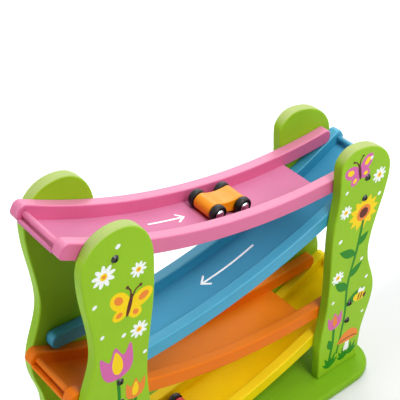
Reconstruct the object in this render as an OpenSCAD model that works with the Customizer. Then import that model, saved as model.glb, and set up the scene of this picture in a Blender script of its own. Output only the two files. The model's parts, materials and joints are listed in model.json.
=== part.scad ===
// Click clack track: four curved ramps between wavy posts, with two flip-over cars.

/* [Track] */
// Length of the base board, and of the whole track
track_l = 340; // [325:1:370]
// Clear width between the two rails of a ramp
channel_w = 44; // [40:0.5:52]
// Radius of the curve that the rails' top edges follow
ramp_r = 543; // [520:1:600]
// How far a ramp's lowest point stays back from the end of the base
dip_setback = 69; // [62:1:76]
// How far a ramp's low end stays back from the end of the base
low_setback = 19.5; // [17:0.5:24]
// How far the top ramp is slid along its curve towards its low end
top_slide = 3; // [0:0.5:5]
// Length of the opening at a ramp's low end that a car drops through
drop_l = 58; // [52:1:64]
// Room between the top ramp's low end and the high end of the ramp below it
stack_gap = 0.3; // [0.2:0.1:3]

/* [Boards] */
// Thickness of the posts and of the rails
board_t = 10; // [8:0.5:13]
// Height of a rail
rail_h = 14; // [13:0.5:18]
// Thickness of a ramp's floor panel
floor_t = 2.4; // [2:0.1:3.2]
// Thickness of the base board
base_t = 10; // [8:0.5:14]
// How far the base reaches past the posts at the front and at the back
base_lip = 20.5; // [10:0.5:30]
// Radius of the base board's corners
base_corner_r = 32; // [15:1:40]
// Room between the lowest ramp and the base board
low_clear = 3; // [2:0.5:8]

/* [Posts] */
// How far the tall posts' screws stay back from the left end of the base
tall_setback = 39; // [36:1:46]
// How far the short posts' screws stay back from the right end of the base
short_setback = 36.5; // [34:0.5:42]
// Width of a post across its widest bulges
post_w = 62; // [56:1:70]
// Height of a tall post above the top ramp's rail
post_rise = 17; // [12:1:26]
// How much shorter the posts on the right are
post_drop = 39; // [20:0.5:44]

/* [Cars] */
// Diameter of a car's wheels
wheel_d = 15; // [14:0.5:17]
// Width of a wheel
wheel_w = 6; // [5:0.5:7]
// Distance between a car's two axles
wheelbase = 27; // [24:0.5:30]
// Width of a car's wooden body
car_w = 19; // [16:0.5:21]
// Diameter of an axle
axle_d = 3; // [2.5:0.1:3.5]
// Place of the car on the top ramp, along the track
upper_car_x = 2; // [-40:1:20]
// Place of the car on the bottom ramp, along the track
lower_car_x = -46; // [-60:1:40]

/* [Screws] */
// Diameter of a screw's shank
screw_d = 3; // [2.5:0.1:3.5]
// Diameter of a round screw head on a post
head_d = 6.6; // [6:0.1:7.5]

/* [Hidden] */
$fn = 48;

// Fine steps for the wide curves of the ramps
arc_fn = 720;
// Points along one edge of a post, and round one side of its crown
edge_steps = 36;
crown_steps = 12;
// Free room between a screw or an axle and its bore, on the radius
bore_slack = 0.05;
// Free room under a wheel, so that it turns
ride_gap = 0.3;
// A cut reaches this far past the face that it opens
over = 1;

// The ramps from the bottom up, with the way that a car runs on each
yellow = 0;
orange = 1;
blue = 2;
pink = 3;
levels = [yellow, orange, blue, pink];
front = -1;
back = 1;
left = -1;
right = 1;

// Places along the track: the ends, and the lowest points of the ramps
end_x = track_l / 2;
dip_x = end_x - dip_setback;

// Places across the track: inner and outer faces of rails and posts
rail_in_y = channel_w / 2;
post_in_y = rail_in_y + board_t;
post_out_y = post_in_y + board_t;
base_w = 2 * (post_out_y + base_lip);

// Radii of one ramp, all about the same axis
rail_mid_r = ramp_r + rail_h / 2;
rail_low_r = ramp_r + rail_h;
deck_r = rail_low_r - floor_t;
// Ends of a ramp, as angles from straight down, and the turn that slides the top ramp along
high_a = -asin((end_x + dip_x) / rail_mid_r);
low_a = asin((end_x - low_setback - dip_x) / rail_mid_r);
top_slide_a = asin(top_slide / rail_mid_r);
// The floor stops short of the low end, which leaves the drop opening
drop_a = asin((end_x - low_setback - drop_l - dip_x) / deck_r);
// Both corners of each rail end are round
corner_r = 0.4 * rail_h;
// The circle that shapes one is a little wider, so that it crosses the rail's edges cleanly
corner_cut_r = 1.02 * corner_r;
// Each ramp's high end tucks under the low end of the ramp above, and the top pair has stack_gap
corner_mid_r = rail_low_r - corner_r;
corner_a = low_a + top_slide_a - asin(corner_r / corner_mid_r);
corner_x = dip_x + corner_mid_r * sin(corner_a);
tuck_r = ramp_r - stack_gap - corner_cut_r;
level_step = corner_mid_r * cos(corner_a) - sqrt(pow(tuck_r, 2) - pow(corner_x + dip_x, 2));

// Rabbet in a rail that the floor panel is glued into
rabbet_w = 0.4 * board_t;
floor_w = channel_w + 2 * rabbet_w;
// Round bar across the high end of a ramp, let into both rails as deep as the floor
bar_d = 0.35 * rail_h;
bar_inset = 0.43 * rail_h;
high_bar_a = high_a + asin(bar_inset / rail_mid_r);
low_bar_a = low_a - asin(bar_inset / rail_mid_r);

// Posts: heights, and the places of their bulges and waists as shares of height and width
tall_h = centre_z(pink) - sqrt(pow(ramp_r, 2) - pow(dip_x - post_x(left), 2)) + post_rise - base_t;
short_h = tall_h - post_drop;
tall_outer_shares = [[0, 0.43], [0.27, 0.42], [0.44, 0.57], [0.65, 0.34], [0.885, 0.455]];
tall_inner_shares = [[0, 0.31], [0.27, 0.51], [0.49, 0.43], [0.81, 0.56], [0.86, 0.56]];
tall_tip_share = -0.04;
tall_crown_power = 2.2;
short_outer_shares = [[0, 0.38], [0.115, 0.38], [0.315, 0.53], [0.546, 0.266], [0.853, 0.482]];
short_inner_shares =
    [[0, 0.506], [0.17, 0.552], [0.378, 0.493], [0.7, 0.559], [0.822, 0.521], [0.944, 0.553]];
short_tip_share = -0.28;
short_crown_power = 1.9;

// Screws
head_h = 0.33 * head_d;
slot_w = 0.16 * head_d;
slot_l = 0.5 * head_d;
grip_l = 0.7 * board_t;
sink_d = 2 * screw_d;
sink_h = screw_d / 2;
base_screw_l = 2.6 * base_t;
base_screw_x = 0.2 * post_w;

// Cars: humps over the axles with a waist between them
hump_r = 0.91 * wheel_d / 2;
waist_r = 0.71 * hump_r;
saddle_r = (pow(wheelbase / 2, 2) + pow(waist_r, 2) - pow(hump_r, 2)) / (2 * (hump_r - waist_r));
saddle_y = saddle_r + waist_r;
wheel_gap = 0.03 * wheel_d;
wheel_in_y = car_w / 2 + wheel_gap;
wheel_out_y = wheel_in_y + wheel_w;
tyre_chamfer = 0.1 * wheel_d;
cap_d = 0.54 * wheel_d;
cap_h = 0.1 * wheel_d;
groove_w = 0.09 * wheel_d;
groove_h = 0.12 * wheel_w;
axle_r = deck_r - ride_gap - wheel_d / 2;
car_r = sqrt(pow(axle_r, 2) - pow(wheelbase / 2, 2));

// Place of the screws of the posts at one end
function post_x(end) = end == left ? tall_setback - end_x : end_x - short_setback;
// Which way a ramp runs down: to the right or to the left
function run_to(level) = level % 2 == 1 ? right : left;
// Turn of a ramp round its own axis
function slide_a(level) = level == pink ? top_slide_a : 0;
// Height of a ramp's own axis, round which its curve is drawn
function centre_z(level) = base_t + low_clear + rail_low_r + level * level_step;
// Height of the middle of a rail at a place along the track
function rail_z(level, x) =
    centre_z(level) - sqrt(pow(rail_mid_r, 2) - pow(run_to(level) * x - dip_x, 2));
// Angle round a ramp's axis at which a car stands
function car_a(level, x) = asin((x - run_to(level) * dip_x) / car_r);

// A point at a radius and at an angle from straight down
function hanging(r, a) = r * [sin(a), -cos(a)];
// A smooth swing from one value to the next
function swing(from, to, t) = from + (to - from) * (1 - cos(180 * t)) / 2;
// Half width of a post at a share of its height
function edge(shares, s, i = 0) =
    s <= shares[i + 1][0] || i == len(shares) - 2
        ? swing(shares[i][1], shares[i + 1][1], (s - shares[i][0]) / (shares[i + 1][0] - shares[i][0]))
        : edge(shares, s, i + 1);
// One edge of a post from its foot up to its crown, as x and z
function post_edge(shares, side, h) =
    let (top = shares[len(shares) - 1])
    [for (k = [0:edge_steps])
        let (s = top[0] * k / edge_steps)
        [side * post_w * edge(shares, s), h * s]];
// One side of a post's crown, from its edge to the highest point
function post_crown(shares, side, h, tip_share, power) =
    let (top = shares[len(shares) - 1], tip = post_w * tip_share, reach = side * post_w * top[1] - tip)
    [for (k = [1:crown_steps])
        let (a = 90 * k / crown_steps)
        [tip + reach * pow(cos(a), 2 / power), h * (top[0] + (1 - top[0]) * pow(sin(a), 2 / power))]];
function reversed(list) = [for (k = [len(list) - 1:-1:0]) list[k]];

// Turns a flat outline in x and z into a board that starts at a place along y
module board(y, t) {
    translate([0, y + t, 0])
        rotate([90, 0, 0])
            linear_extrude(t)
                children();
}

// Puts a ramp's outline, drawn round its axis for a run to the right, at its level
module at_level(level) {
    translate([run_to(level) * dip_x, 0, centre_z(level)])
        mirror([run_to(level) == left ? 1 : 0, 0, 0])
            rotate([0, -slide_a(level), 0])
                children();
}

// A strip of a ring between two radii and two angles
module ring_strip(r_in, r_out, a_from, a_to) {
    reach = 2 * r_out;
    intersection() {
        difference() {
            circle(r_out, $fn = arc_fn);
            circle(r_in, $fn = arc_fn);
        }
        polygon([[0, 0], hanging(reach, a_from), hanging(reach, a_to)]);
    }
}

// What is cut off to round a corner at the origin, of a board that lies towards the given sides
module corner_cut(sides) {
    difference() {
        translate((corner_r - over) / 2 * sides)
            square(corner_r + over, center = true);
        translate(corner_r * sides)
            circle(corner_cut_r);
    }
}

// What is cut off to round both corners of a rail end, of a rail that runs on towards the given side
module end_cuts(a, side) {
    rotate(a) {
        translate([0, -ramp_r])
            corner_cut([side, -1]);
        translate([0, -rail_low_r])
            corner_cut([side, 1]);
    }
}

// Side outline of a rail with round ends
module rail_outline() {
    difference() {
        ring_strip(ramp_r, rail_low_r, high_a, low_a);
        end_cuts(high_a, right);
        end_cuts(low_a, left);
    }
}

// Angle that a length along the floor spans
function along_a(length) = asin(length / deck_r);
// Angle at which a ramp's floor starts, at the rails' round corners
function floor_start_a() = high_a + along_a(corner_r);
// Angle at which it ends: only the bottom ramp's floor reaches the round corners there too
function floor_end_a(level) = level == yellow ? low_a - along_a(corner_r) : drop_a;
// Angles of a ramp's cross bars: only the bottom ramp has one at its low end
function bar_angles(level) = level == yellow ? [high_bar_a, low_bar_a] : [high_bar_a];

module rail(level, side) {
    rail_y = side == front ? -post_in_y : rail_in_y;
    rabbet_y = side == front ? -rail_in_y - rabbet_w : rail_in_y - over;
    difference() {
        at_level(level)
            board(rail_y, board_t)
                rail_outline();
        at_level(level)
            board(rabbet_y, rabbet_w + over) {
                ring_strip(deck_r, rail_low_r + over, floor_start_a(), floor_end_a(level));
                for (a = bar_angles(level))
                    translate(hanging(rail_mid_r, a))
                        circle(bar_d / 2 + bore_slack);
            }
        for (end = [left, right])
            translate([post_x(end), side * (post_in_y + over), rail_z(level, post_x(end))])
                rotate([side * 90, 0, 0])
                    cylinder(h = grip_l + 2 * over, r = screw_d / 2 + bore_slack);
    }
}

module floor_panel(level) {
    at_level(level)
        board(-floor_w / 2, floor_w)
            ring_strip(deck_r, rail_low_r, floor_start_a(), floor_end_a(level));
}

// A round bar across the channel, at an angle round the ramp's axis
module cross_bar(level, a) {
    at_level(level)
        board(-floor_w / 2, floor_w)
            translate(hanging(rail_mid_r, a))
                circle(d = bar_d);
}

// Side outline of a post, outer edge towards positive x
module post_outline(outer, inner, h, tip_share, power) {
    polygon(concat(
        post_edge(outer, right, h),
        post_crown(outer, right, h, tip_share, power),
        reversed(post_crown(inner, left, h, tip_share, power)),
        reversed(post_edge(inner, left, h))));
}

module tall_outline() {
    mirror([1, 0])
        post_outline(tall_outer_shares, tall_inner_shares, tall_h, tall_tip_share, tall_crown_power);
}

module short_outline() {
    post_outline(short_outer_shares, short_inner_shares, short_h, short_tip_share, short_crown_power);
}

// A post from the outline that is given, with bores for the rails' and the base's screws
module post(end, side) {
    post_y = side == front ? -post_out_y : post_in_y;
    difference() {
        translate([post_x(end), 0, base_t])
            board(post_y, board_t)
                children();
        for (level = levels)
            translate([post_x(end), post_y + board_t + over, rail_z(level, post_x(end))])
                rotate([90, 0, 0])
                    cylinder(h = board_t + 2 * over, r = screw_d / 2 + bore_slack);
        for (x = [-base_screw_x, base_screw_x])
            translate([post_x(end) + x, post_y + board_t / 2, base_t - over])
                cylinder(h = base_screw_l - base_t + 2 * over, r = screw_d / 2 + bore_slack);
    }
}

// Places of the screws that come up through the base, two under each post
module at_base_screws() {
    for (end = [left, right])
        for (side = [front, back])
            for (x = [-base_screw_x, base_screw_x])
                translate([post_x(end) + x, side * (post_in_y + board_t / 2), 0])
                    children();
}

module base_board() {
    round_x = end_x - base_corner_r;
    round_y = base_w / 2 - base_corner_r;
    color("yellowgreen")
        difference() {
            union() {
                translate([-end_x, -round_y, 0])
                    cube([track_l, 2 * round_y, base_t]);
                translate([-round_x, -base_w / 2, 0])
                    cube([2 * round_x, base_w, base_t]);
                for (x = [-round_x, round_x])
                    for (y = [-round_y, round_y])
                        translate([x, y, 0])
                            cylinder(h = base_t, r = base_corner_r);
            }
            at_base_screws() {
                translate([0, 0, -over])
                    cylinder(h = base_t + 2 * over, r = screw_d / 2 + bore_slack);
                cylinder(h = sink_h, d1 = sink_d, d2 = screw_d);
            }
        }
}

// A black round-head screw through a post into a rail, drawn along +z from the post's face
module round_screw() {
    dome_r = (pow(head_d / 2, 2) + pow(head_h, 2)) / (2 * head_h);
    difference() {
        union() {
            translate([0, 0, -board_t - grip_l])
                cylinder(h = board_t + grip_l, d = screw_d);
            rotate_extrude()
                intersection() {
                    translate([0, head_h - dome_r])
                        circle(dome_r);
                    square([head_d / 2, head_h]);
                }
        }
        for (turn = [0, 90])
            rotate(turn)
                translate([-slot_l / 2, -slot_w / 2, head_h / 2])
                    cube([slot_l, slot_w, head_h]);
    }
}

module rail_screws() {
    color("black")
        for (level = levels)
            for (end = [left, right])
                for (side = [front, back])
                    translate([post_x(end), side * post_out_y, rail_z(level, post_x(end))])
                        rotate([-side * 90, 0, 0])
                            round_screw();
}

module base_screws() {
    color("silver")
        at_base_screws() {
            cylinder(h = sink_h, d1 = sink_d, d2 = screw_d);
            cylinder(h = base_screw_l, d = screw_d);
        }
}

// Side outline of a car: a round hump over each axle and a hollow between, above and below
module car_outline() {
    foot = wheelbase / 2 * [1, 0] + hump_r / (saddle_r + hump_r) * [-wheelbase / 2, saddle_y];
    for (x = [-wheelbase / 2, wheelbase / 2])
        translate([x, 0])
            circle(hump_r);
    difference() {
        square(2 * foot, center = true);
        for (y = [-saddle_y, saddle_y])
            translate([0, y])
                circle(saddle_r, $fn = arc_fn);
    }
}

// Puts a car, drawn round its middle, on its ramp
module on_ramp(level, x) {
    translate([run_to(level) * dip_x, 0, centre_z(level)])
        rotate([0, -car_a(level, x), 0])
            translate([0, 0, -car_r])
                children();
}

module car_body() {
    difference() {
        board(-car_w / 2, car_w)
            car_outline();
        for (x = [-wheelbase / 2, wheelbase / 2])
            translate([x, car_w / 2 + over, 0])
                rotate([90, 0, 0])
                    cylinder(h = car_w + 2 * over, r = axle_d / 2 + bore_slack);
    }
}

module car_axle(end) {
    translate([end * wheelbase / 2, wheel_out_y, 0])
        rotate([90, 0, 0])
            cylinder(h = 2 * wheel_out_y, d = axle_d);
}

// Half section of a wheel from its bore out, with a ring groove in the outer face
module wheel_section() {
    r = wheel_d / 2;
    groove_r = cap_d / 2 + groove_w / 2;
    difference() {
        polygon([
            [axle_d / 2, 0],
            [r - tyre_chamfer, 0],
            [r, tyre_chamfer],
            [r, wheel_w - tyre_chamfer],
            [r - tyre_chamfer, wheel_w],
            [axle_d / 2, wheel_w]]);
        translate([groove_r, wheel_w - groove_h])
            square([groove_w, groove_h + over]);
    }
}

module car_wheels(end) {
    for (side = [front, back])
        translate([end * wheelbase / 2, side * wheel_in_y, 0])
            rotate([-side * 90, 0, 0])
                rotate_extrude()
                    wheel_section();
}

// Domed caps on the outer ends of an axle
module car_caps(end) {
    dome_r = (pow(cap_d / 2, 2) + pow(cap_h, 2)) / (2 * cap_h);
    for (side = [front, back])
        translate([end * wheelbase / 2, side * wheel_out_y, 0])
            rotate([-side * 90, 0, 0])
                rotate_extrude()
                    intersection() {
                        translate([0, cap_h - dome_r])
                            circle(dome_r);
                        square([cap_d / 2, cap_h]);
                    }
}

module post_front_left() { color("yellowgreen") post(left, front) tall_outline(); }
module post_back_left() { color("yellowgreen") post(left, back) tall_outline(); }
module post_front_right() { color("yellowgreen") post(right, front) short_outline(); }
module post_back_right() { color("yellowgreen") post(right, back) short_outline(); }

module pink_rail_front() { color("hotpink") rail(pink, front); }
module pink_rail_back() { color("hotpink") rail(pink, back); }
module pink_floor() { color("palevioletred") floor_panel(pink); }
module pink_end_bar() { color("hotpink") cross_bar(pink, high_bar_a); }

module blue_rail_front() { color("steelblue") rail(blue, front); }
module blue_rail_back() { color("steelblue") rail(blue, back); }
module blue_floor() { color("steelblue") floor_panel(blue); }
module blue_end_bar() { color("steelblue") cross_bar(blue, high_bar_a); }

module orange_rail_front() { color("darkorange") rail(orange, front); }
module orange_rail_back() { color("darkorange") rail(orange, back); }
module orange_floor() { color("darkorange") floor_panel(orange); }
module orange_end_bar() { color("darkorange") cross_bar(orange, high_bar_a); }

module yellow_rail_front() { color("gold") rail(yellow, front); }
module yellow_rail_back() { color("gold") rail(yellow, back); }
module yellow_floor() { color("gold") floor_panel(yellow); }
module yellow_end_bar() { color("gold") cross_bar(yellow, high_bar_a); }
module yellow_stop_bar() { color("gold") cross_bar(yellow, low_bar_a); }

module upper_car_body() { color("orange") on_ramp(pink, upper_car_x) car_body(); }
module upper_front_axle() { color("silver") on_ramp(pink, upper_car_x) car_axle(right); }
module upper_front_wheels() { color("dimgray") on_ramp(pink, upper_car_x) car_wheels(right); }
module upper_front_caps() { color("gainsboro") on_ramp(pink, upper_car_x) car_caps(right); }
module upper_rear_axle() { color("silver") on_ramp(pink, upper_car_x) car_axle(left); }
module upper_rear_wheels() { color("dimgray") on_ramp(pink, upper_car_x) car_wheels(left); }
module upper_rear_caps() { color("gainsboro") on_ramp(pink, upper_car_x) car_caps(left); }

module lower_car_body() { color("firebrick") on_ramp(yellow, lower_car_x) car_body(); }
module lower_front_axle() { color("silver") on_ramp(yellow, lower_car_x) car_axle(left); }
module lower_front_wheels() { color("dimgray") on_ramp(yellow, lower_car_x) car_wheels(left); }
module lower_front_caps() { color("gainsboro") on_ramp(yellow, lower_car_x) car_caps(left); }
module lower_rear_axle() { color("silver") on_ramp(yellow, lower_car_x) car_axle(right); }
module lower_rear_wheels() { color("dimgray") on_ramp(yellow, lower_car_x) car_wheels(right); }
module lower_rear_caps() { color("gainsboro") on_ramp(yellow, lower_car_x) car_caps(right); }

base_board();
post_front_left();
post_back_left();
post_front_right();
post_back_right();
pink_rail_front();
pink_rail_back();
pink_floor();
pink_end_bar();
blue_rail_front();
blue_rail_back();
blue_floor();
blue_end_bar();
orange_rail_front();
orange_rail_back();
orange_floor();
orange_end_bar();
yellow_rail_front();
yellow_rail_back();
yellow_floor();
yellow_end_bar();
yellow_stop_bar();
rail_screws();
base_screws();
upper_car_body();
upper_front_axle();
upper_front_wheels();
upper_front_caps();
upper_rear_axle();
upper_rear_wheels();
upper_rear_caps();
lower_car_body();
lower_front_axle();
lower_front_wheels();
lower_front_caps();
lower_rear_axle();
lower_rear_wheels();
lower_rear_caps();
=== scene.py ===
import json
import math

import bmesh
import bpy
from mathutils import Matrix, Vector


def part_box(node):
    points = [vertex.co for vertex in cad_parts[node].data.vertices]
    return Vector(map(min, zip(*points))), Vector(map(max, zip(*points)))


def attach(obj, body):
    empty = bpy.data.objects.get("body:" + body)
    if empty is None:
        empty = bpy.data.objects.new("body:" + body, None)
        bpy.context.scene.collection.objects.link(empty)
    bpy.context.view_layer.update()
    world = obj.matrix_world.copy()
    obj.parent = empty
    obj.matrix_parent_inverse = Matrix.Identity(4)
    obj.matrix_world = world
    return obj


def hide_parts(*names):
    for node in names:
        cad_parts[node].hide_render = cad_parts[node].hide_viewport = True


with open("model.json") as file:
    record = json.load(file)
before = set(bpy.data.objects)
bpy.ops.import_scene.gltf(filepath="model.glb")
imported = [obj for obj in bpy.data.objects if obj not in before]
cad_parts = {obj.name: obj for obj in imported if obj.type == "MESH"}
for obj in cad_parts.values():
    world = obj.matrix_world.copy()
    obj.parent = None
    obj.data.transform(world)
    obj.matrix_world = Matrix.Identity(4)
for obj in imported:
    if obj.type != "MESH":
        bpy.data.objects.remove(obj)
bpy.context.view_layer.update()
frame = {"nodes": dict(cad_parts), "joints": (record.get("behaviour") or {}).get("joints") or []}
scene = bpy.context.scene
scene.view_settings.view_transform = "Standard"
mm = 0.001


# camera at the photograph's place: seen from the front left, well above the track
cameraSet = {"place": (-0.42948, -0.47994, 0.74999), "along": (0.515538, 0.602676, -0.609099),
             "roll": 1.307, "lens": 90.785, "film": 36}


def addCamera(values):
    along = Vector(values["along"]).normalized()
    level = along.cross(Vector((0, 0, 1))).normalized()
    tilt = math.radians(values["roll"])
    right = level * math.cos(tilt) + level.cross(along) * math.sin(tilt)
    up = right.cross(along)
    turn = Matrix((right, up, -along)).transposed().to_4x4()
    data = bpy.data.cameras.new("photoCamera")
    data.lens = values["lens"]
    data.sensor_width = values["film"]
    camera = bpy.data.objects.new("photoCamera", data)
    camera.matrix_world = Matrix.Translation(values["place"]) @ turn
    scene.collection.objects.link(camera)
    scene.camera = camera


addCamera(cameraSet)
print("camera set")


# colours are written as the eye reads them, from 0 to 255, and turned into linear light
def tint(red, green, blue):
    def linear(value):
        share = value / 255
        return share / 12.92 if share <= 0.04045 else ((share + 0.055) / 1.055) ** 2.4
    return (linear(red), linear(green), linear(blue), 1.0)


white = (1, 1, 1, 1)


# an input takes a plain value or another node's output
def setInputs(tree, node, values):
    for key, value in values.items():
        if isinstance(value, bpy.types.NodeSocket):
            tree.links.new(value, node.inputs[key])
        else:
            node.inputs[key].default_value = value


def addNode(tree, kind, values=None, **settings):
    node = tree.nodes.new(kind)
    for key, value in settings.items():
        setattr(node, key, value)
    setInputs(tree, node, values or {})
    return node


def sums(tree, operation, *values):
    node = addNode(tree, "ShaderNodeMath", dict(enumerate(values)), operation=operation)
    return node.outputs[0]


def noise(tree, place, values):
    return addNode(tree, "ShaderNodeTexNoise", {"Vector": place, **values}).outputs["Fac"]


# noise runs from 0 to 1, and is counted from its middle
def fromMiddle(tree, value):
    return sums(tree, "SUBTRACT", value, 0.5)


def stretched(tree, place, scale):
    return addNode(tree, "ShaderNodeMapping", {"Vector": place, "Scale": scale}).outputs["Vector"]


def shaded(tree, colour, value):
    shade = addNode(tree, "ShaderNodeHueSaturation", {"Color": colour, "Value": value})
    return shade.outputs["Color"]


def newEffect(name, inputs):
    group = bpy.data.node_groups.new(name, "ShaderNodeTree")
    outputs = {"Colour": "Color", "Roughness": "Float", "Height": "Float"}
    for way, sockets in (("INPUT", inputs), ("OUTPUT", outputs)):
        for label, kind in sockets.items():
            group.interface.new_socket(label, in_out=way, socket_type="NodeSocket" + kind)
    source = addNode(group, "NodeGroupInput").outputs
    place = addNode(group, "ShaderNodeTexCoord").outputs["Object"]
    return group, source, place


# every effect puts out a colour, a roughness and a height
def putOut(group, colour, roughness, height):
    addNode(group, "NodeGroupOutput", {"Colour": colour, "Roughness": roughness, "Height": height})
    return group


# paint over wood: long faint grain, slow changes of tone, a fine stipple, and a paler painted
# sheen and highlight where the mesh marks it
paintLook = {"grain": {"Scale": 1.0, "Detail": 4.0, "Roughness": 0.55},
             "cloud": {"Scale": 30.0, "Detail": 2.0}, "stipple": {"Scale": 1500.0, "Detail": 1.0},
             "streakTone": 0.55, "driftSheen": 0.5, "driftGloss": 0.16, "streakGloss": 0.06,
             "grainHeight": 0.65, "stippleHeight": 0.35, "bump": (0.18, 0.4 * mm)}
mixColours = {"first": 6, "second": 7, "result": 2}     # the mix node's sockets for colours


def makePaintEffect(look):
    group, source, place = newEffect("paintOverWood", {
        "Paint": "Color", "PaintedSheen": "Color", "Grain": "Vector", "Tone": "Float", "Gloss": "Float"})
    grain = noise(group, stretched(group, place, source["Grain"]), look["grain"])
    stipple = noise(group, place, look["stipple"])
    streak = fromMiddle(group, grain)
    drift = fromMiddle(group, noise(group, place, look["cloud"]))
    both = sums(group, "ADD", sums(group, "MULTIPLY", streak, look["streakTone"]), drift)
    # the mask is a painted sheen on faces that look up and a painted highlight on eased edges,
    # varied a little by the slow tone
    rim = addNode(group, "ShaderNodeAttribute", attribute_name="sheenAndHighlight", attribute_type="GEOMETRY")
    sheenSpread = sums(group, "MULTIPLY_ADD", drift, look["driftSheen"], 1.0)
    mix = addNode(group, "ShaderNodeMix", {
        "Factor": sums(group, "MULTIPLY", rim.outputs["Fac"], sheenSpread),
        mixColours["first"]: source["Paint"], mixColours["second"]: source["PaintedSheen"]},
        data_type="RGBA")
    colour = shaded(group, mix.outputs[mixColours["result"]],
                    sums(group, "MULTIPLY_ADD", both, source["Tone"], 1.0))
    gloss = sums(group, "MULTIPLY_ADD", drift, look["driftGloss"], source["Gloss"])
    roughness = sums(group, "MULTIPLY_ADD", streak, look["streakGloss"], gloss)
    fine = sums(group, "MULTIPLY", stipple, look["stippleHeight"])
    height = sums(group, "MULTIPLY_ADD", grain, look["grainHeight"], fine)
    return putOut(group, colour, roughness, height)


# bright or blackened metal: smudges and fine turned lines
metalLook = {"lines": {"Scale": 1.0, "Detail": 2.0}, "smudge": {"Scale": 260.0, "Detail": 3.0},
             "turned": (300, 4000, 300), "bump": (0.08, 0.1 * mm)}


def makeMetalEffect(look):
    group, source, place = newEffect("workedMetal", {
        "Metal": "Color", "Lines": "Vector", "Gloss": "Float", "Smudge": "Float"})
    lines = noise(group, stretched(group, place, source["Lines"]), look["lines"])
    spread = fromMiddle(group, noise(group, place, look["smudge"]))
    colour = shaded(group, source["Metal"],
                    sums(group, "MULTIPLY_ADD", spread, source["Smudge"], 1.0))
    roughness = sums(group, "MULTIPLY_ADD", spread, source["Smudge"], source["Gloss"])
    return putOut(group, colour, roughness, lines)


# printed ink: a thin film, a little uneven where the screen laid it down
inkLook = {"film": {"Scale": 420.0, "Detail": 3.0}, "dots": {"Scale": 1600.0},
           "gloss": 0.42, "filmGloss": 0.2, "bump": (0.1, 0.05 * mm)}


def makeInkEffect(look):
    group, source, place = newEffect("printedInk", {"Ink": "Color", "Uneven": "Float"})
    spread = fromMiddle(group, noise(group, place, look["film"]))
    dots = addNode(group, "ShaderNodeTexVoronoi", {"Vector": place, **look["dots"]})
    colour = shaded(group, source["Ink"],
                    sums(group, "MULTIPLY_ADD", spread, source["Uneven"], 1.0))
    roughness = sums(group, "MULTIPLY_ADD", spread, look["filmGloss"], look["gloss"])
    return putOut(group, colour, roughness, dots.outputs["Distance"])


paintEffect = makePaintEffect(paintLook)
metalEffect = makeMetalEffect(metalLook)
inkEffect = makeInkEffect(inkLook)


def newMaterial(name, effect, values, surface, bump):
    material = bpy.data.materials.new(name)
    material.use_nodes = True
    tree = material.node_tree
    made = addNode(tree, "ShaderNodeGroup", values, node_tree=effect).outputs
    strength, depth = bump
    relief = addNode(tree, "ShaderNodeBump",
                     {"Strength": strength, "Distance": depth, "Height": made["Height"]})
    setInputs(tree, tree.nodes["Principled BSDF"], {
        **surface, "Base Color": made["Colour"], "Roughness": made["Roughness"],
        "Normal": relief.outputs["Normal"]})
    return material


alongTrack = (45, 700, 700)     # grain of the ramps, the base and the cars
upThePost = (700, 700, 45)      # grain of the posts


# the second colour is a paler painted sheen and highlight, for eased edges and faces that look up
def paintMaterial(name, colour, sheenTint, grain=alongTrack, gloss=0.42, tone=0.14, shine=0.1):
    values = {"Paint": colour, "PaintedSheen": sheenTint, "Grain": grain, "Tone": tone, "Gloss": gloss}
    return newMaterial(name, paintEffect, values, {"Specular IOR Level": shine}, paintLook["bump"])


def metalMaterial(name, colour, gloss, smudge, metallic=1.0):
    values = {"Metal": colour, "Lines": metalLook["turned"], "Gloss": gloss, "Smudge": smudge}
    return newMaterial(name, metalEffect, values, {"Metallic": metallic}, metalLook["bump"])


# ink, and plastic that is uneven in the same way
def inkMaterial(name, colour, uneven=0.12, shine=0.12, glow=0.0, bump=inkLook["bump"]):
    surface = {"Specular IOR Level": shine, "Emission Color": white, "Emission Strength": glow}
    return newMaterial(name, inkEffect, {"Ink": colour, "Uneven": uneven}, surface, bump)


carPaint = {"gloss": 0.3, "tone": 0.2, "shine": 0.2}
# each paint's second colour is its painted sheen and painted highlight
paints = {
    "post": paintMaterial("leafGreenPost", tint(149, 197, 36), tint(190, 184, 144), upThePost),
    "base": paintMaterial("leafGreenBase", tint(122, 172, 30), tint(160, 190, 110)),
    "pinkRail": paintMaterial("pinkRailPaint", tint(216, 104, 148), tint(216, 206, 218),
                              shine=0.48),
    "pinkFloor": paintMaterial("pinkFloorPaint", tint(203, 120, 157), tint(216, 190, 208)),
    "blueRail": paintMaterial("blueRailPaint", tint(57, 156, 190), tint(170, 205, 220), shine=0.4),
    "blueFloor": paintMaterial("blueFloorPaint", tint(69, 154, 190), tint(160, 200, 220)),
    "orangeRail": paintMaterial("orangeRailPaint", tint(233, 117, 13), tint(240, 180, 110)),
    "orangeFloor": paintMaterial("orangeFloorPaint", tint(235, 124, 20), tint(240, 180, 110)),
    "yellowRail": paintMaterial("yellowRailPaint", tint(240, 212, 4), tint(246, 228, 130)),
    "yellowFloor": paintMaterial("yellowFloorPaint", tint(248, 215, 2), tint(246, 228, 130)),
    "upperCar": paintMaterial("carOrangePaint", tint(244, 148, 10), tint(244, 196, 120),
                              **carPaint),
    "lowerCar": paintMaterial("carRedPaint", tint(214, 44, 56), tint(226, 150, 150), **carPaint),
}
blackWheel = inkMaterial("blackWheelPlastic", tint(15, 13, 14), uneven=0.5, shine=0.32,
                         bump=(0.12, 0.1 * mm))
chrome = metalMaterial("chromeCap", tint(226, 226, 226), gloss=0.12, smudge=0.12)
steel = metalMaterial("steelAxle", tint(176, 176, 178), gloss=0.28, smudge=0.2)
blackScrew = metalMaterial("blackScrew", tint(62, 62, 60), gloss=0.22, smudge=0.25, metallic=0.9)
zinc = metalMaterial("zincScrew", tint(190, 190, 186), gloss=0.35, smudge=0.25)
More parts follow.
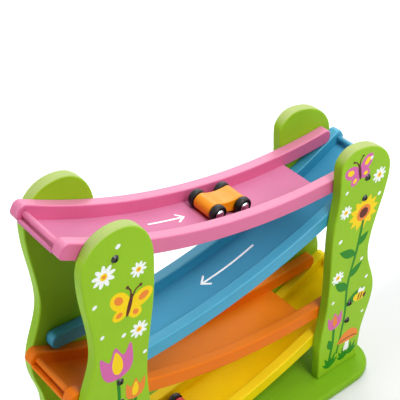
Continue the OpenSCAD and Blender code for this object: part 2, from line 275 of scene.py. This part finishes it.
inks = {
    "white": inkMaterial("whiteInk", tint(246, 250, 248)),
    "yellow": inkMaterial("yellowInk", tint(250, 214, 10)),
    "orange": inkMaterial("orangeInk", tint(238, 136, 52)),
    "pink": inkMaterial("pinkInk", tint(214, 104, 170)),
    "brown": inkMaterial("brownInk", tint(96, 40, 34)),
    "green": inkMaterial("darkGreenInk", tint(38, 134, 28)),
}
inkOrder = list(inks)
# the arrows' white glows a little, a painted light that keeps it white in the deck's shade
glowingWhite = inkMaterial("glowingWhiteInk", tint(252, 254, 254), glow=0.22)
print("materials:", len(bpy.data.materials))


def newObject(name, bm, materials):
    mesh = bpy.data.meshes.new(name)
    bm.to_mesh(mesh)
    bm.free()
    for material in materials:
        mesh.materials.append(material)
    made = bpy.data.objects.new(name, mesh)
    scene.collection.objects.link(made)
    return made


def addPiece(name, bm, body, materials, stands=(), smooth=True):
    piece = newObject(name, bm, materials)
    if smooth:
        piece.data.shade_smooth()
    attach(piece, body)
    if stands:
        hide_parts(*stands)
    return piece


# how CAD shapes are joined, which edges are eased, and where faces that look up begin to take the
# painted sheen
edgeRules = {"weld": 0.002 * mm, "flat": math.radians(0.1), "sharp": math.radians(28),
             "smallestRim": 11 * mm, "roundness": 0.5, "upFrom": 0.35, "upSpan": 0.5}


# a CAD node's own shape as one joined mesh
def joinedCopy(node):
    bm = bmesh.new()
    bm.from_mesh(frame["nodes"][node].data)
    bmesh.ops.remove_doubles(bm, verts=bm.verts, dist=edgeRules["weld"])
    bmesh.ops.dissolve_limit(bm, angle_limit=edgeRules["flat"], verts=bm.verts, edges=bm.edges,
                             use_dissolve_boundaries=False, delimit=set())
    return bm


# sharp outer edges, without the rims of small bores
def outerEdges(bm, keep):
    sharp = {edge for edge in bm.edges if len(edge.link_faces) == 2 and edge.is_convex
             and edge.calc_face_angle() > edgeRules["sharp"]}
    chosen = []
    while sharp:
        rim, ahead = [], [sharp.pop()]
        while ahead:
            edge = ahead.pop()
            rim.append(edge)
            for near in {other for vert in edge.verts for other in vert.link_edges} & sharp:
                sharp.remove(near)
                ahead.append(near)
        places = [vert.co for edge in rim for vert in edge.verts]
        reach = max((place - places[0]).length for place in places)
        if reach > edgeRules["smallestRim"]:
            chosen += [edge for edge in rim if keep((edge.verts[0].co + edge.verts[1].co) / 2)]
    return chosen


# eased edges get a painted highlight, and faces that look up a painted sheen
def easedPiece(node, body, material, look, keep=lambda place: True, shape=None):
    bm = joinedCopy(node)
    if shape:
        shape(bm)
    made = bmesh.ops.bevel(bm, geom=outerEdges(bm, keep), offset=look["easing"],
                           offset_type="OFFSET", segments=look["steps"],
                           profile=edgeRules["roundness"], affect="EDGES", clamp_overlap=True,
                           material=-1)
    # the face attribute holds how much painted sheen and painted highlight each face takes
    sheenAndHighlight = bm.faces.layers.float.new("sheenAndHighlight")
    bm.normal_update()
    rims = set(made["faces"])
    for face in bm.faces:
        up = min(max((face.normal.z - edgeRules["upFrom"]) / edgeRules["upSpan"], 0), 1)
        face[sheenAndHighlight] = up * look["topSheen"] + (look["edgeHighlight"] if face in rims else 0)
    piece = addPiece(node + "_painted", bm, body, [material], [node])
    piece.modifiers.new("evenNormals", "WEIGHTED_NORMAL").keep_sharp = True


# base board and posts
# the top and edge strengths are painted sheen on faces that look up and painted highlight on eased
# edges
boardLook = {"easing": 3.6 * mm, "steps": 6, "topSheen": 0.0, "edgeHighlight": 0.05}
postLook = {"easing": 1.5 * mm, "steps": 4, "topSheen": 0.55, "edgeHighlight": 0.16}
easedPiece("base_board", "frame", paints["base"], boardLook)
for node in ("post_front_left", "post_back_left", "post_front_right", "post_back_right"):
    easedPiece(node, "frame", paints["post"], postLook)
print("base and posts eased")


# ramps: their axes come from the joints that the cars run about
runs = {joint["name"]: joint for joint in frame["joints"]}
topAxis = Vector(runs["upper_car_run"]["pos_m"])
lowAxis = Vector(runs["lower_car_run"]["pos_m"])
rampNames = ["yellow", "orange", "blue", "pink"]
deckRadius = 554.6 * mm
# the top and edge strengths are painted sheen and painted highlight
railLook = {"easing": 1.4 * mm, "steps": 4, "edgeHighlight": 0.08}
railTopSheen = {"pink": 0.15, "blue": 0.04, "orange": 0.05, "yellow": 0.05}     # their tops' painted sheen
floorLook = {"easing": 0.5 * mm, "steps": 2, "topSheen": 0.0, "edgeHighlight": 0.3}
barLook = {"easing": 0.3 * mm, "steps": 2, "topSheen": 0.12, "edgeHighlight": 0.1}
rabbet = {"reach": 26 * mm, "sideSlack": 0.5 * mm, "endSlack": 0.1 * mm, "deckSlack": 0.6 * mm}
lip = {"out": 3.6 * mm, "half": 21.9 * mm, "cut": 0.001 * mm, "endDepth": 2 * mm,
       "sideways": 0.1, "outward": 0.7}


def rampAxis(level):
    towards = topAxis.x if level % 2 else lowAxis.x
    return Vector((towards, 0, lowAxis.z + (topAxis.z - lowAxis.z) * level / (len(rampNames) - 1)))


# all edges of a rail but those of the rabbet that the floor fills
def railKeeps(level):
    axis = rampAxis(level)
    low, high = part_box(rampNames[level] + "_floor")

    def keep(place):
        radius = math.hypot(place.x - axis.x, place.z - axis.z)
        overFloor = low.x - rabbet["endSlack"] < place.x < high.x + rabbet["endSlack"]
        inRabbet = abs(place.y) < rabbet["reach"] + rabbet["sideSlack"]
        return not (overFloor and inRabbet and radius > deckRadius - rabbet["deckSlack"])
    return keep


def onlyVerts(parts):
    return [part for part in parts if isinstance(part, bmesh.types.BMVert)]


# between the rails the floor panel's high end reaches a little further than in its rabbets
def floorLip(level):
    axis = rampAxis(level)
    out = 1 if axis.x < 0 else -1

    def isEnd(face, reach):
        centre = face.calc_center_median()
        between = abs(face.normal.y) < lip["sideways"] and abs(centre.y) < lip["half"]
        atEnd = out * centre.x > reach - lip["endDepth"]
        return between and atEnd and out * face.normal.x > lip["outward"]

    def shape(bm):
        for side in (-1, 1):
            bmesh.ops.bisect_plane(bm, geom=bm.verts[:] + bm.edges[:] + bm.faces[:],
                                   dist=lip["cut"], plane_co=(0, side * lip["half"], 0),
                                   plane_no=(0, 1, 0))
        bm.normal_update()
        reach = max(out * vert.co.x for vert in bm.verts)
        ends = [face for face in bm.faces if isEnd(face, reach)]
        centre = ends[0].calc_center_median() - axis
        turn = math.atan2(lip["out"], math.hypot(centre.x, centre.z))
        grown = bmesh.ops.extrude_face_region(bm, geom=ends)["geom"]
        bmesh.ops.delete(bm, geom=ends, context="FACES")
        bmesh.ops.rotate(bm, cent=axis, matrix=Matrix.Rotation(-out * turn, 3, "Y"),
                         verts=onlyVerts(grown))
    return shape


for level, colour in enumerate(rampNames):
    railPaint = paints[colour + "Rail"]
    for side in ("front", "back"):
        easedPiece(f"{colour}_rail_{side}", "frame", railPaint,
                   {**railLook, "topSheen": railTopSheen[colour]}, keep=railKeeps(level))
    easedPiece(colour + "_floor", "frame", paints[colour + "Floor"], floorLook,
               shape=floorLip(level))
    easedPiece(colour + "_end_bar", "frame", railPaint, barLook)
easedPiece("yellow_stop_bar", "frame", paints["yellowRail"], barLook)
print("ramps eased")


# cars: painted bodies, turned wheels and domed caps
# the car's top and edge strengths are painted sheen and painted highlight
carLook = {"easing": 0.9 * mm, "steps": 3, "topSheen": 0.1, "edgeHighlight": 0.1}
turnedLook = {"steps": 56, "weld": 0.001 * mm, "sharp": math.radians(40), "wheelWidth": 6 * mm}

# radius, and way out along the axle, in millimetres
wheelProfile = [(1.5, 0.0), (6.0, 0.0), (7.0, 0.35), (7.5, 1.4), (7.5, 4.6), (7.1, 5.6),
                (6.45, 6.0), (6.1, 5.9), (5.85, 4.9), (5.05, 4.9), (4.85, 5.75), (4.6, 5.9),
                (1.5, 5.9)]
capProfile = [(0.0, 1.5), (1.3, 1.42), (2.4, 1.15), (3.3, 0.7), (3.9, 0.2), (4.05, 0.0),
              (0.0, 0.0)]


def turnProfile(bm, profile, centre, start, side):
    verts = [bm.verts.new(centre + Vector((radius * mm, side * (start + out * mm), 0)))
             for radius, out in profile]
    edges = [bm.edges.new(pair) for pair in zip(verts, verts[1:] + verts[:1])]
    bmesh.ops.spin(bm, geom=verts + edges, cent=centre, axis=(0, 1, 0), angle=math.tau,
                   steps=turnedLook["steps"], use_merge=True, use_duplicate=False)


def turnedPair(node, profile, body, material, centre, start):
    bm = bmesh.new()
    for side in (-1, 1):
        turnProfile(bm, profile, centre, start, side)
    bmesh.ops.remove_doubles(bm, verts=bm.verts, dist=turnedLook["weld"])
    bmesh.ops.dissolve_degenerate(bm, edges=bm.edges, dist=turnedLook["weld"])
    bmesh.ops.recalc_face_normals(bm, faces=bm.faces)
    piece = addPiece(node + "_turned", bm, body, [material], [node])
    piece.data.set_sharp_from_angle(angle=turnedLook["sharp"])


# nodes that keep their CAD shape
def keepNode(node, material):
    mesh = frame["nodes"][node].data
    mesh.materials.clear()
    mesh.materials.append(material)


for car in ("upper", "lower"):
    easedPiece(car + "_car_body", car + "_car", paints[car + "Car"], carLook)
    for end in ("front", "rear"):
        name = f"{car}_{end}"
        low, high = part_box(name + "_axle")
        centre = (low + high) / 2
        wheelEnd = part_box(name + "_wheels")[1].y
        turnedPair(name + "_wheels", wheelProfile, name + "_axle_set", blackWheel,
                   centre, wheelEnd - turnedLook["wheelWidth"])
        turnedPair(name + "_caps", capProfile, name + "_axle_set", chrome,
                   centre, wheelEnd)
        keepNode(name + "_axle", steel)
print("cars made")

keepNode("rail_screws", blackScrew)
keepNode("base_screws", zinc)
print("screws finished")


# white running arrows on the two upper decks, along and across in millimetres
arrows = {
    "pink": {"level": 3, "tail": -68.4, "tip": -32.6, "across": 3.4, "barbs": (8.6, 5.4),
             "spread": 5.4, "bow": 0.0},
    "blue": {"level": 2, "tail": 46.1, "tip": -12.7, "across": 3.2, "barbs": (6.6, 7.2),
             "spread": 6.2, "bow": -0.9},
}
arrowLook = {"width": 1.75, "lift": 0.06 * mm, "shaftSteps": 14, "barbSteps": 4,
             "pastTip": 0.4, "pastShaft": 0.5}


def addStroke(bm, points, width):
    last = None
    for i, point in enumerate(points):
        ahead = Vector(points[min(i + 1, len(points) - 1)]) - Vector(points[max(i - 1, 0)])
        normal = Vector((-ahead.y, ahead.x)).normalized() * width / 2
        pair = [bm.verts.new((*(Vector(point) + normal * side), 0)) for side in (1, -1)]
        if last:
            bm.faces.new((last[0], last[1], pair[1], pair[0]))
        last = pair


def line(start, end, steps):
    return [tuple(a + (b - a) * i / steps for a, b in zip(start, end)) for i in range(steps + 1)]


def addArrow(colour, arrow):
    bm = bmesh.new()
    tip, across, steps = arrow["tip"], arrow["across"], arrowLook["shaftSteps"]
    way = 1 if tip > arrow["tail"] else -1
    straight = line((arrow["tail"], across), (tip, across), steps)
    shaft = [(x, y + arrow["bow"] * math.sin(math.pi * i / steps))
             for i, (x, y) in enumerate(straight)]
    addStroke(bm, shaft, arrowLook["width"])
    for side, back in zip((-1, 1), arrow["barbs"]):
        start = (tip + way * arrowLook["pastTip"], across - side * arrowLook["pastShaft"])
        end = (tip - way * back, across + side * arrow["spread"])
        addStroke(bm, line(start, end, arrowLook["barbSteps"]), arrowLook["width"])
    axis = rampAxis(arrow["level"])
    radius = deckRadius - arrowLook["lift"]
    for vert in bm.verts:
        vert.co = vert.co * mm
        vert.co.z = axis.z - math.sqrt(radius ** 2 - (vert.co.x - axis.x) ** 2)
    bmesh.ops.recalc_face_normals(bm, faces=bm.faces)
    for face in bm.faces:
        if face.normal.z < 0:
            face.normal_flip()
    bmesh.ops.solidify(bm, geom=bm.faces[:], thickness=arrowLook["lift"])
    addPiece(colour + "_arrow", bm, "frame", [glowingWhite])


for colour, arrow in arrows.items():
    addArrow(colour, arrow)
print("arrows printed")


# printed garden of flat shapes: ink, layer, outline and place, where no outline means a circle
def spot(at=(0, 0), size=(1, 1), turn=0):
    turned = Matrix.Rotation(math.radians(turn), 4, "Z")
    return Matrix.Translation((*at, 0)) @ turned @ Matrix.Diagonal((*size, 1, 1))


def oval(ink, layer, half, at=(0, 0), turn=0):
    return [(ink, layer, None, spot(at, half, turn))]


def outline(ink, layer, points):
    return [(ink, layer, points, Matrix.Identity(4))]


def placed(shapes, at, size, turn=0):
    whole = spot(at, (size, size), turn)
    return [(ink, layer, points, whole @ place) for ink, layer, points, place in shapes]


# a shape repeated around the middle
def ring(shapes, count):
    return sum((placed(shapes, (0, 0), 1, 360 / count * i) for i in range(count)), [])


# a smooth line through a few points
def curve(points, steps=6, closed=False):
    spots = [Vector(point) for point in points]
    last = len(spots)
    made = []
    for i in range(last if closed else last - 1):
        a, b, c, d = (spots[(i + k) % last] if closed else spots[min(max(i + k, 0), last - 1)]
                      for k in (-1, 0, 1, 2))
        for j in range(steps):
            s = j / steps
            made.append(0.5 * (2 * b + (c - a) * s + (2 * a - 5 * b + 4 * c - d) * s ** 2
                               + (3 * b - a - 3 * c + d) * s ** 3))
    return made if closed else made + [spots[-1]]


def rounded(ink, layer, points):
    return outline(ink, layer, curve(points, 4, True))


def stroke(ink, layer, points, width, tip):
    path = curve(points)
    left, right = [], []
    for i, here in enumerate(path):
        ahead = (path[min(i + 1, len(path) - 1)] - path[max(i - 1, 0)]).normalized()
        half = (width + (tip - width) * i / (len(path) - 1)) / 2
        across = Vector((-ahead.y, ahead.x)) * half
        left.append(here + across)
        right.append(here - across)
    return outline(ink, layer, left + right[::-1])


# pointed at both ends, and widest a little before its middle
def leaf(ink, layer, at, length, width, turn):
    shares = (0.08, 0.2, 0.35, 0.5, 0.65, 0.8, 0.92)
    fullness = 0.8
    side = [(share, math.sin(math.pi * share ** fullness) / 2) for share in shares]
    rim = [(0, 0)] + side + [(1, 0)] + [(x, -y) for x, y in side[::-1]]
    return [(ink, layer, rim, spot(at, (length, width), turn))]


def daisy(at, size, turn=0):
    petals = ring(oval("white", 0, (0.2, 0.09), (0.29, 0)), 9)
    heart = oval("yellow", 1, (0.15, 0.15)) + oval("orange", 2, (0.07, 0.06))
    return placed(petals + heart, at, size, turn)


def sunflower(at, size, turn=0):
    petals = ring(leaf("yellow", 0, (0.16, 0), 0.36, 0.2, 0), 12)
    heart = oval("orange", 1, (0.24, 0.24)) + oval("brown", 2, (0.15, 0.15))
    return placed(petals + heart, at, size, turn)


def tulip(at, size, petal, heart, turn=0):
    cup = [(0, -0.5), (0.3, -0.4), (0.42, -0.08), (0.4, 0.4), (0.19, 0.14), (0, 0.48),
           (-0.19, 0.14), (-0.4, 0.4), (-0.42, -0.08), (-0.3, -0.4)]
    middle = [(0, 0.34), (0.13, 0.04), (0.12, -0.24), (0, -0.36), (-0.12, -0.24), (-0.13, 0.04)]
    return placed(rounded(petal, 1, cup) + rounded(heart, 2, middle), at, size, turn)


def butterfly(at, size, wing, mark, turn=0):
    shapes = oval("brown", 3, (0.045, 0.26))
    for side in (-1, 1):
        feeler = [(side * 0.02, 0.2), (side * 0.06, 0.34), (side * 0.15, 0.42)]
        shapes += oval(wing, 0, (0.27, 0.19), (side * 0.25, 0.13), side * 38)
        shapes += oval(wing, 0, (0.18, 0.14), (side * 0.17, -0.17), side * -35)
        shapes += oval(mark, 1, (0.12, 0.085), (side * 0.29, 0.16), side * 38)
        shapes += oval(mark, 1, (0.075, 0.06), (side * 0.19, -0.18), side * -35)
        shapes += stroke("brown", 2, feeler, 0.035, 0.03)
        shapes += oval("brown", 2, (0.035, 0.035), (side * 0.155, 0.425))
    return placed(shapes, at, size, turn)


def bee(at, size, turn=0):
    shapes = oval("white", 0, (0.14, 0.26), (-0.06, 0.3), 24)
    shapes += oval("white", 0, (0.12, 0.22), (0.12, 0.28), -18)
    shapes += oval("yellow", 1, (0.44, 0.27)) + oval("brown", 2, (0.1, 0.16), (0.36, 0))
    shapes += oval("brown", 2, (0.045, 0.23), (-0.06, 0))
    shapes += oval("brown", 2, (0.045, 0.25), (0.12, 0))
    return placed(shapes, at, size, turn)


def mushroom(at, size, turn=0):
    stem = [(-0.13, -0.5), (0, -0.53), (0.13, -0.5), (0.09, -0.15), (0.1, 0.05), (-0.1, 0.05),
            (-0.09, -0.15)]
    cap = [(-0.5, -0.02), (-0.43, 0.22), (-0.22, 0.4), (0, 0.46), (0.22, 0.4), (0.43, 0.22),
           (0.5, -0.02), (0.26, -0.08), (0, -0.1), (-0.26, -0.08)]
    rim = [(-0.44, 0.0), (-0.2, 0.06), (0, 0.07), (0.2, 0.06), (0.44, 0.0)]
    shapes = rounded("white", 0, stem) + rounded("orange", 1, cap)
    return placed(shapes + stroke("brown", 2, rim, 0.035, 0.035), at, size, turn)


def grass(at, size):
    slim = 0.2
    blades = []
    for lean, tall in ((-52, 0.6), (-28, 0.85), (-6, 1.0), (18, 0.9), (44, 0.65)):
        blades += leaf("green", 0, at, size * tall, size * slim, 90 - lean)
    return blades


def plant(stem, leaves):
    shapes = stroke("green", 0, stem, 3.2, 2.4)
    for at, length, width, turn in leaves:
        shapes += leaf("green", 0, at, length, width, turn)
    return shapes


def specks(*spots):
    flat, turn = 0.78, 35
    return sum((oval("white", 0, (half, half * flat), (x, h), turn) for x, h, half in spots), [])


# in millimetres across the post from its screws, and up from the base
tallGarden = (
    daisy((-10, 271), 21, 10) + daisy((20, 262), 15, 25) + daisy((19, 203), 17, 5)
    + butterfly((11, 232), 40, "yellow", "orange", -16)
    + plant([(-2, 167), (-2, 130), (-9, 96), (-6, 52)],
            [((-4, 116), 32, 12, 122), ((-7, 104), 38, 13, 60), ((-8, 76), 23, 10, 132)])
    + tulip((-2, 180), 35, "pink", "yellow", 4)
    + plant([(14, 134), (12, 112), (7, 80)], [((11, 106), 17, 8, 42)])
    + tulip((14, 142), 22, "orange", "yellow", -4)
    + mushroom((13, 78), 28, 4) + grass((9, 58), 20) + grass((-10, 50), 22)
    + mushroom((-9, 30), 24, -6) + daisy((9, 40), 14, 12) + grass((3, 6), 24) + grass((-16, 6), 18)
    + specks((3, 292, 2.4), (-19, 247, 2.2), (25, 236, 2.0), (-14, 214, 2.0), (5, 205, 2.2),
             (-25, 152, 2.4), (-27, 128, 2.0), (23, 116, 2.2), (-19, 84, 2.0), (24, 176, 2.0)))
shortGarden = (
    butterfly((-9, 243), 35, "pink", "yellow", 14)
    + daisy((18, 228), 17, 0) + daisy((-20, 204), 15, 20)
    + plant([(5, 184), (2, 150), (-4, 112), (-2, 70), (-6, 22)],
            [((2, 156), 17, 9, 40), ((1, 146), 26, 10, 150), ((-3, 120), 20, 9, 40),
             ((-4, 106), 24, 10, 138), ((-2, 82), 26, 11, 36)])
    + sunflower((4, 193), 36, 8) + bee((16, 86), 20, -12) + daisy((-19, 128), 16, 30)
    + tulip((-15, 72), 22, "pink", "orange", 6)
    + plant([(-15, 61), (-14, 40), (-16, 16)], [((-15, 34), 16, 8, 110)])
    + mushroom((8, 34), 28, -4) + grass((-14, 8), 22) + grass((4, 8), 18) + grass((15, 10), 18)
    + specks((4, 252, 2.2), (-22, 226, 2.0), (22, 206, 2.2), (-22, 172, 2.4), (11, 136, 2.0),
             (22, 108, 2.2), (-21, 98, 2.0), (24, 62, 2.0)))
postPrints = {"left": {"garden": tallGarden, "axis": -131 * mm},
              "right": {"garden": shortGarden, "axis": 131 * mm}}

# each shape lies a little higher than the one before, so that no two faces share a place
printLook = {"step": 0.06 * mm, "sink": 0.03 * mm, "baseTop": 10 * mm, "circleSteps": 22,
             "rise": 0.001 * mm, "rises": 40}


def printPost(node, values):
    low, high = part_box(node)
    outward = -1 if low.y < 0 else 1
    face = (low.y if outward < 0 else high.y) - outward * printLook["sink"]
    across = Matrix(((1, 0, 0, values["axis"] / mm), (0, 0, 1, face / mm),
                     (0, 1, 0, printLook["baseTop"] / mm), (0, 0, 0, 1)))
    onPost = Matrix.Scale(mm, 4) @ across
    bm = bmesh.new()
    for count, (ink, layer, points, place) in enumerate(values["garden"]):
        there = onPost @ place
        if points is None:
            made = bmesh.ops.create_circle(bm, cap_ends=True, segments=printLook["circleSteps"],
                                           radius=1, matrix=there)
            flat = made["verts"][0].link_faces[0]
        else:
            flat = bm.faces.new([bm.verts.new(there @ Vector((x, y, 0))) for x, y in points])
        flat.material_index = inkOrder.index(ink)
        grown = bmesh.ops.extrude_face_region(bm, geom=[flat])["geom"]
        lift = (printLook["sink"] + (layer + 1) * printLook["step"]
                + count % printLook["rises"] * printLook["rise"])
        bmesh.ops.translate(bm, vec=(0, outward * lift, 0), verts=onlyVerts(grown))
    bmesh.ops.recalc_face_normals(bm, faces=bm.faces)
    addPiece(node + "_print", bm, "frame", [inks[ink] for ink in inkOrder], smooth=False)


for row in ("front", "back"):
    for side, values in postPrints.items():
        printPost(f"post_{row}_{side}", values)
print("posts printed")


# floor and light: the floor is lifted to white behind the toy and far from it
groundLook = {"size": 6.0, "colour": tint(226, 227, 228), "roughness": 0.9,
              "backLift": 0.46, "back": (0.0, 0.13), "farLift": 1.0, "far": (0.25, 1.7)}
lightLook = {
    "overFront": {"place": (0.1, -0.9, 1.8), "size": 1.0, "power": 19.5},
    "over": {"place": (0.2, 0.25, 1.9), "size": 1.3, "power": 12.0},
    "front": {"place": (0.1, -1.6, 1.2), "size": 1.0, "power": 9.5},
    "right": {"place": (1.4, -0.5, 1.25), "size": 1.0, "power": 6.5},
    "back": {"place": (0.95, 1.05, 1.15), "size": 1.3, "power": 11.0},
    "left": {"place": (-1.6, 0.35, 0.55), "size": 0.8, "power": 11.0},
}
lightAim = Vector((0, 0, 0.15))
worldLook = {"ambient": 0.02}


def cameraSees(tree):
    rays = addNode(tree, "ShaderNodeLightPath").outputs
    seen = sums(tree, "MAXIMUM", rays["Is Camera Ray"], rays["Is Glossy Ray"])
    return sums(tree, "MAXIMUM", seen, rays["Is Transmission Ray"])


def floorMaterial(values):
    material = bpy.data.materials.new("studioFloor")
    material.use_nodes = True
    tree = material.node_tree
    place = addNode(tree, "ShaderNodeTexCoord").outputs["Object"]
    away = addNode(tree, "ShaderNodeVectorMath", {0: place}, operation="LENGTH").outputs["Value"]
    behind = addNode(tree, "ShaderNodeSeparateXYZ", {0: place}).outputs["Y"]
    lifts = []
    for part, value in (("back", behind), ("far", away)):
        start, end = values[part]
        lift = addNode(tree, "ShaderNodeMapRange", {
            "Value": value, "From Min": start, "From Max": end,
            "To Min": 0.0, "To Max": values[part + "Lift"]}, interpolation_type="SMOOTHSTEP")
        lifts.append(lift.outputs["Result"])
    glow = sums(tree, "MULTIPLY", cameraSees(tree), sums(tree, "MAXIMUM", *lifts))
    setInputs(tree, tree.nodes["Principled BSDF"], {
        "Base Color": values["colour"], "Roughness": values["roughness"],
        "Specular IOR Level": 0.0, "Emission Color": white, "Emission Strength": glow})
    return material


def addFloor(values):
    bm = bmesh.new()
    bmesh.ops.create_grid(bm, x_segments=2, y_segments=2, size=values["size"])
    floor = newObject("studioFloor", bm, [floorMaterial(values)])


def addLight(name, values):
    data = bpy.data.lights.new(name, "AREA")
    data.shape = "DISK"
    data.size = values["size"]
    data.energy = values["power"]
    lamp = bpy.data.objects.new(name, data)
    place = Vector(values["place"])
    turn = (lightAim - place).to_track_quat("-Z", "Y").to_matrix().to_4x4()
    lamp.matrix_world = Matrix.Translation(place) @ turn
    scene.collection.objects.link(lamp)


# white where it is seen, and faint as a light
def addWorld(values):
    world = bpy.data.worlds.new("studio")
    world.use_nodes = True
    scene.world = world
    tree = world.node_tree
    faint = values["ambient"]
    strength = sums(tree, "MULTIPLY_ADD", cameraSees(tree), 1 - faint, faint)
    setInputs(tree, tree.nodes["Background"], {"Color": white, "Strength": strength})


addFloor(groundLook)
for name, values in lightLook.items():
    addLight(name, values)
addWorld(worldLook)
print("studio lit")
